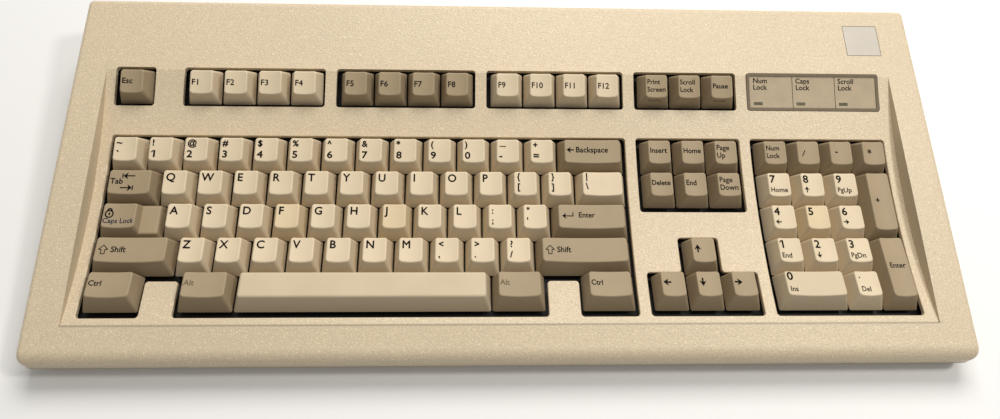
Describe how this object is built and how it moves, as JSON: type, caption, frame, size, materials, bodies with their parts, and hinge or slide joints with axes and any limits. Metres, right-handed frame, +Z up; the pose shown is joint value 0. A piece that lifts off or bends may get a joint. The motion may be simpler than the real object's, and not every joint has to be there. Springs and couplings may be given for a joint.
{
  "type": "mechanical keyboard",
  "caption": "Full-size desktop keyboard with sculpted two-tone keys in a curved deck, a lock-light panel, folding rear feet and a rear cable socket.",
  "frame": {"origin": "under the middle of the case, on the surface that the keyboard stands on", "axes": "+X to the user's right, +Y to the back, +Z up"},
  "size_m": [0.492, 0.21, 0.0454],
  "materials": {
    "case_plastic": "pebbled cream moulding with a fine spatter grain",
    "key_light": "light cream moulded caps with a fine satin grain",
    "key_dark": "taupe moulded caps with a fine satin grain",
    "inner_plastic": "black moulding",
    "spring_steel": "drawn spring wire",
    "blanket_rubber": "thin black rubber sheet",
    "membrane_film": "printed polyester film",
    "plate_steel": "zinc-plated sheet steel",
    "screw_steel": "plated hexagon screws",
    "panel_plastic": "taupe panel with a darker frame",
    "light_window": "smoked light windows, unlit",
    "board_laminate": "green circuit-board laminate",
    "badge_metal": "plain silver badge with no mark",
    "socket_plastic": "black socket housing",
    "pad_rubber": "black rubber",
    "foot_plastic": "dark grey-brown moulded feet"
  },
  "bodies": {
    "case": {"upper_case": "case_plastic", "lower_case": "case_plastic", "barrel_plate": "inner_plastic", "hammers": "inner_plastic", "buckling_springs": "spring_steel", "rubber_blanket": "blanket_rubber", "membrane": "membrane_film", "steel_backplate": "plate_steel", "plate_rivets": "inner_plastic", "case_screws": "screw_steel", "lock_light_panel": "panel_plastic", "lock_lights": "light_window", "lock_light_board": "board_laminate", "badge_plate": "badge_metal", "controller_board": "board_laminate", "cable_socket": "socket_plastic", "ribbon_cable": "membrane_film", "rubber_pads": "pad_rubber", "space_bar_stabiliser": "spring_steel"},
    "esc_key": {"esc_key": "key_dark"},
    "f1_to_f4_keys": {"f1_to_f4_keys": "key_light"},
    "f5_to_f8_keys": {"f5_to_f8_keys": "key_dark"},
    "f9_to_f12_keys": {"f9_to_f12_keys": "key_light"},
    "print_scroll_pause_keys": {"print_scroll_pause_keys": "key_dark"},
    "number_row_keys": {"number_row_keys": "key_light"},
    "backspace_key": {"backspace_key": "key_dark"},
    "insert_key": {"insert_key": "key_dark"},
    "home_key": {"home_key": "key_dark"},
    "page_up_key": {"page_up_key": "key_dark"},
    "pad_top_row_keys": {"pad_top_row_keys": "key_dark"},
    "tab_key": {"tab_key": "key_dark"},
    "q_row_keys": {"q_row_keys": "key_light"},
    "backslash_key": {"backslash_key": "key_light"},
    "delete_key": {"delete_key": "key_dark"},
    "end_key": {"end_key": "key_dark"},
    "page_down_key": {"page_down_key": "key_dark"},
    "pad_789_keys": {"pad_789_keys": "key_light"},
    "pad_plus_key": {"pad_plus_key": "key_dark"},
    "caps_lock_key": {"caps_lock_key": "key_dark"},
    "a_row_keys": {"a_row_keys": "key_light"},
    "enter_key": {"enter_key": "key_dark"},
    "pad_456_keys": {"pad_456_keys": "key_light"},
    "left_shift_key": {"left_shift_key": "key_dark"},
    "z_row_keys": {"z_row_keys": "key_light"},
    "right_shift_key": {"right_shift_key": "key_dark"},
    "up_key": {"up_key": "key_dark"},
    "pad_123_keys": {"pad_123_keys": "key_light"},
    "pad_enter_key": {"pad_enter_key": "key_dark"},
    "left_ctrl_key": {"left_ctrl_key": "key_dark"},
    "left_alt_key": {"left_alt_key": "key_dark"},
    "space_bar": {"space_bar": "key_light"},
    "right_alt_key": {"right_alt_key": "key_dark"},
    "right_ctrl_key": {"right_ctrl_key": "key_dark"},
    "left_key": {"left_key": "key_dark"},
    "down_key": {"down_key": "key_dark"},
    "right_key": {"right_key": "key_dark"},
    "pad_zero_key": {"pad_zero_key": "key_light"},
    "pad_point_key": {"pad_point_key": "key_light"},
    "left_foot": {"left_foot": "foot_plastic"},
    "right_foot": {"right_foot": "foot_plastic"}
  },
  "joints": [
    {"name": "esc_press", "type": "slide", "parent": "case", "child": "esc_key", "axis": [0, 0.3541, -0.9352], "range_m": [0, 0.0038], "stiffness_N_per_m": 160, "springref_m": -0.002},
    {"name": "f1_to_f4_press", "type": "slide", "parent": "case", "child": "f1_to_f4_keys", "axis": [0, 0.3541, -0.9352], "range_m": [0, 0.0038], "stiffness_N_per_m": 640, "springref_m": -0.002},
    {"name": "f5_to_f8_press", "type": "slide", "parent": "case", "child": "f5_to_f8_keys", "axis": [0, 0.3541, -0.9352], "range_m": [0, 0.0038], "stiffness_N_per_m": 640, "springref_m": -0.002},
    {"name": "f9_to_f12_press", "type": "slide", "parent": "case", "child": "f9_to_f12_keys", "axis": [0, 0.3541, -0.9352], "range_m": [0, 0.0038], "stiffness_N_per_m": 640, "springref_m": -0.002},
    {"name": "print_scroll_pause_press", "type": "slide", "parent": "case", "child": "print_scroll_pause_keys", "axis": [0, 0.3541, -0.9352], "range_m": [0, 0.0038], "stiffness_N_per_m": 480, "springref_m": -0.002},
    {"name": "number_row_press", "type": "slide", "parent": "case", "child": "number_row_keys", "axis": [0, 0.212, -0.9773], "range_m": [0, 0.0038], "stiffness_N_per_m": 2080, "springref_m": -0.002},
    {"name": "backspace_press", "type": "slide", "parent": "case", "child": "backspace_key", "axis": [0, 0.212, -0.9773], "range_m": [0, 0.0038], "stiffness_N_per_m": 256, "springref_m": -0.002},
    {"name": "insert_press", "type": "slide", "parent": "case", "child": "insert_key", "axis": [0, 0.212, -0.9773], "range_m": [0, 0.0038], "stiffness_N_per_m": 160, "springref_m": -0.002},
    {"name": "home_press", "type": "slide", "parent": "case", "child": "home_key", "axis": [0, 0.212, -0.9773], "range_m": [0, 0.0038], "stiffness_N_per_m": 160, "springref_m": -0.002},
    {"name": "page_up_press", "type": "slide", "parent": "case", "child": "page_up_key", "axis": [0, 0.212, -0.9773], "range_m": [0, 0.0038], "stiffness_N_per_m": 160, "springref_m": -0.002},
    {"name": "pad_top_row_press", "type": "slide", "parent": "case", "child": "pad_top_row_keys", "axis": [0, 0.212, -0.9773], "range_m": [0, 0.0038], "stiffness_N_per_m": 640, "springref_m": -0.002},
    {"name": "tab_press", "type": "slide", "parent": "case", "child": "tab_key", "axis": [0, 0.1412, -0.99], "range_m": [0, 0.0038], "stiffness_N_per_m": 160, "springref_m": -0.002},
    {"name": "q_row_press", "type": "slide", "parent": "case", "child": "q_row_keys", "axis": [0, 0.1412, -0.99], "range_m": [0, 0.0038], "stiffness_N_per_m": 1920, "springref_m": -0.002},
    {"name": "backslash_press", "type": "slide", "parent": "case", "child": "backslash_key", "axis": [0, 0.1412, -0.99], "range_m": [0, 0.0038], "stiffness_N_per_m": 160, "springref_m": -0.002},
    {"name": "delete_press", "type": "slide", "parent": "case", "child": "delete_key", "axis": [0, 0.1412, -0.99], "range_m": [0, 0.0038], "stiffness_N_per_m": 160, "springref_m": -0.002},
    {"name": "end_press", "type": "slide", "parent": "case", "child": "end_key", "axis": [0, 0.1412, -0.99], "range_m": [0, 0.0038], "stiffness_N_per_m": 160, "springref_m": -0.002},
    {"name": "page_down_press", "type": "slide", "parent": "case", "child": "page_down_key", "axis": [0, 0.1412, -0.99], "range_m": [0, 0.0038], "stiffness_N_per_m": 160, "springref_m": -0.002},
    {"name": "pad_789_press", "type": "slide", "parent": "case", "child": "pad_789_keys", "axis": [0, 0.1412, -0.99], "range_m": [0, 0.0038], "stiffness_N_per_m": 480, "springref_m": -0.002},
    {"name": "pad_plus_press", "type": "slide", "parent": "case", "child": "pad_plus_key", "axis": [0, 0.1056, -0.9944], "range_m": [0, 0.0038], "stiffness_N_per_m": 256, "springref_m": -0.002},
    {"name": "caps_lock_press", "type": "slide", "parent": "case", "child": "caps_lock_key", "axis": [0, 0.0698, -0.9976], "range_m": [0, 0.0038], "stiffness_N_per_m": 208, "springref_m": -0.002},
    {"name": "a_row_press", "type": "slide", "parent": "case", "child": "a_row_keys", "axis": [0, 0.0698, -0.9976], "range_m": [0, 0.0038], "stiffness_N_per_m": 1760, "springref_m": -0.002},
    {"name": "enter_press", "type": "slide", "parent": "case", "child": "enter_key", "axis": [0, 0.0698, -0.9976], "range_m": [0, 0.0038], "stiffness_N_per_m": 256, "springref_m": -0.002},
    {"name": "pad_456_press", "type": "slide", "parent": "case", "child": "pad_456_keys", "axis": [0, 0.0698, -0.9976], "range_m": [0, 0.0038], "stiffness_N_per_m": 480, "springref_m": -0.002},
    {"name": "left_shift_press", "type": "slide", "parent": "case", "child": "left_shift_key", "axis": [0, -0.0021, -1], "range_m": [0, 0.0038], "stiffness_N_per_m": 256, "springref_m": -0.002},
    {"name": "z_row_press", "type": "slide", "parent": "case", "child": "z_row_keys", "axis": [0, -0.0021, -1], "range_m": [0, 0.0038], "stiffness_N_per_m": 1600, "springref_m": -0.002},
    {"name": "right_shift_press", "type": "slide", "parent": "case", "child": "right_shift_key", "axis": [0, -0.0021, -1], "range_m": [0, 0.0038], "stiffness_N_per_m": 288, "springref_m": -0.002},
    {"name": "up_press", "type": "slide", "parent": "case", "child": "up_key", "axis": [0, -0.0021, -1], "range_m": [0, 0.0038], "stiffness_N_per_m": 160, "springref_m": -0.002},
    {"name": "pad_123_press", "type": "slide", "parent": "case", "child": "pad_123_keys", "axis": [0, -0.0021, -1], "range_m": [0, 0.0038], "stiffness_N_per_m": 480, "springref_m": -0.002},
    {"name": "pad_enter_press", "type": "slide", "parent": "case", "child": "pad_enter_key", "axis": [0, -0.038, -0.9993], "range_m": [0, 0.0038], "stiffness_N_per_m": 256, "springref_m": -0.002},
    {"name": "left_ctrl_press", "type": "slide", "parent": "case", "child": "left_ctrl_key", "axis": [0, -0.0739, -0.9973], "range_m": [0, 0.0038], "stiffness_N_per_m": 160, "springref_m": -0.002},
    {"name": "left_alt_press", "type": "slide", "parent": "case", "child": "left_alt_key", "axis": [0, -0.0739, -0.9973], "range_m": [0, 0.0038], "stiffness_N_per_m": 160, "springref_m": -0.002},
    {"name": "space_bar_press", "type": "slide", "parent": "case", "child": "space_bar", "axis": [0, -0.0739, -0.9973], "range_m": [0, 0.0038], "stiffness_N_per_m": 352, "springref_m": -0.002},
    {"name": "right_alt_press", "type": "slide", "parent": "case", "child": "right_alt_key", "axis": [0, -0.0739, -0.9973], "range_m": [0, 0.0038], "stiffness_N_per_m": 160, "springref_m": -0.002},
    {"name": "right_ctrl_press", "type": "slide", "parent": "case", "child": "right_ctrl_key", "axis": [0, -0.0739, -0.9973], "range_m": [0, 0.0038], "stiffness_N_per_m": 160, "springref_m": -0.002},
    {"name": "left_press", "type": "slide", "parent": "case", "child": "left_key", "axis": [0, -0.0739, -0.9973], "range_m": [0, 0.0038], "stiffness_N_per_m": 160, "springref_m": -0.002},
    {"name": "down_press", "type": "slide", "parent": "case", "child": "down_key", "axis": [0, -0.0739, -0.9973], "range_m": [0, 0.0038], "stiffness_N_per_m": 160, "springref_m": -0.002},
    {"name": "right_press", "type": "slide", "parent": "case", "child": "right_key", "axis": [0, -0.0739, -0.9973], "range_m": [0, 0.0038], "stiffness_N_per_m": 160, "springref_m": -0.002},
    {"name": "pad_zero_press", "type": "slide", "parent": "case", "child": "pad_zero_key", "axis": [0, -0.0739, -0.9973], "range_m": [0, 0.0038], "stiffness_N_per_m": 256, "springref_m": -0.002},
    {"name": "pad_point_press", "type": "slide", "parent": "case", "child": "pad_point_key", "axis": [0, -0.0739, -0.9973], "range_m": [0, 0.0038], "stiffness_N_per_m": 160, "springref_m": -0.002},
    {"name": "left_foot_hinge", "type": "hinge", "parent": "case", "child": "left_foot", "pos_m": [-0.221, 0.076, 0.007], "axis": [0, 1, 0], "range_deg": [0, 100]},
    {"name": "right_foot_hinge", "type": "hinge", "parent": "case", "child": "right_foot", "pos_m": [0.221, 0.076, 0.007], "axis": [0, -1, 0], "range_deg": [0, 100]}
  ]
}
